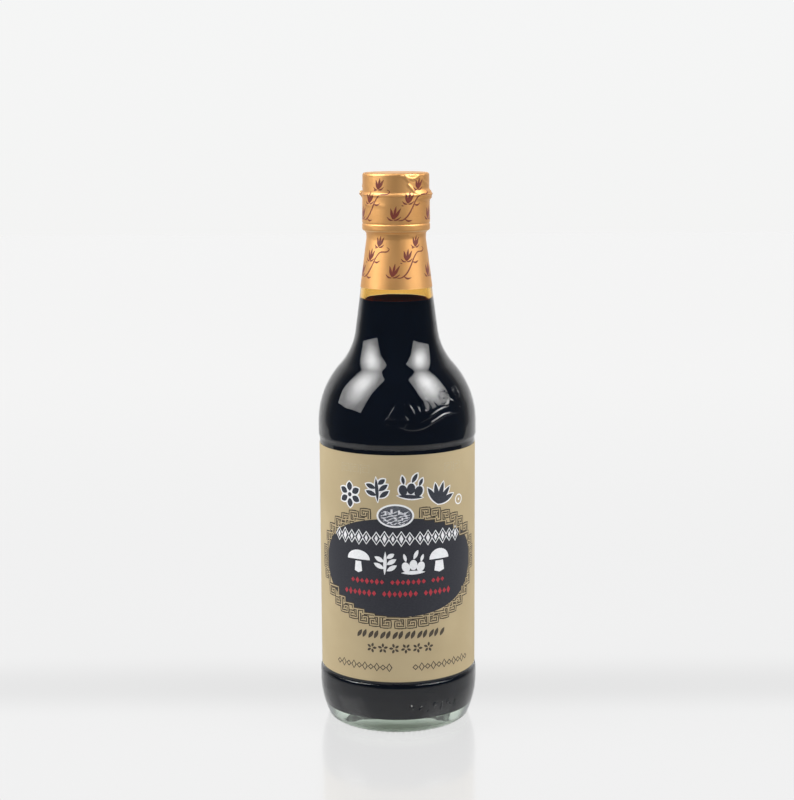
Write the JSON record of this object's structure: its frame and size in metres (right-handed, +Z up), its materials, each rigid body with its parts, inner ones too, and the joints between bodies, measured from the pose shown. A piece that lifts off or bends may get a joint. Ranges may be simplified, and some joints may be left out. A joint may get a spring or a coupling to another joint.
{
  "type": "soy sauce bottle",
  "caption": "Round glass bottle of dark sauce with a wrapped paper label, flared neck and a flip-top cap sealed under a shrunk foil capsule.",
  "frame": {"origin": "centre of the foot, on the surface it stands on", "axes": "+Z up the bottle's axis; -Y towards the front of the label; +X to the right, where the cap's thumb lip is"},
  "size_m": [0.0708, 0.0708, 0.2456],
  "materials": {
    "bottle_glass": "smooth clear glass with a faint green tint in the foot",
    "sauce": "near-black brown liquid, glossy",
    "cap_plastic": "moulded plastic under the capsule",
    "capsule_foil": "satin gold shrink film with dark red-brown ornament",
    "label_paper": "matt beige-gold printed paper"
  },
  "bodies": {
    "root": {"glass_bottle": "bottle_glass", "soy_sauce": "sauce", "cap": "cap_plastic", "capsule": "capsule_foil", "label": "label_paper"}
  },
  "joints": []
}
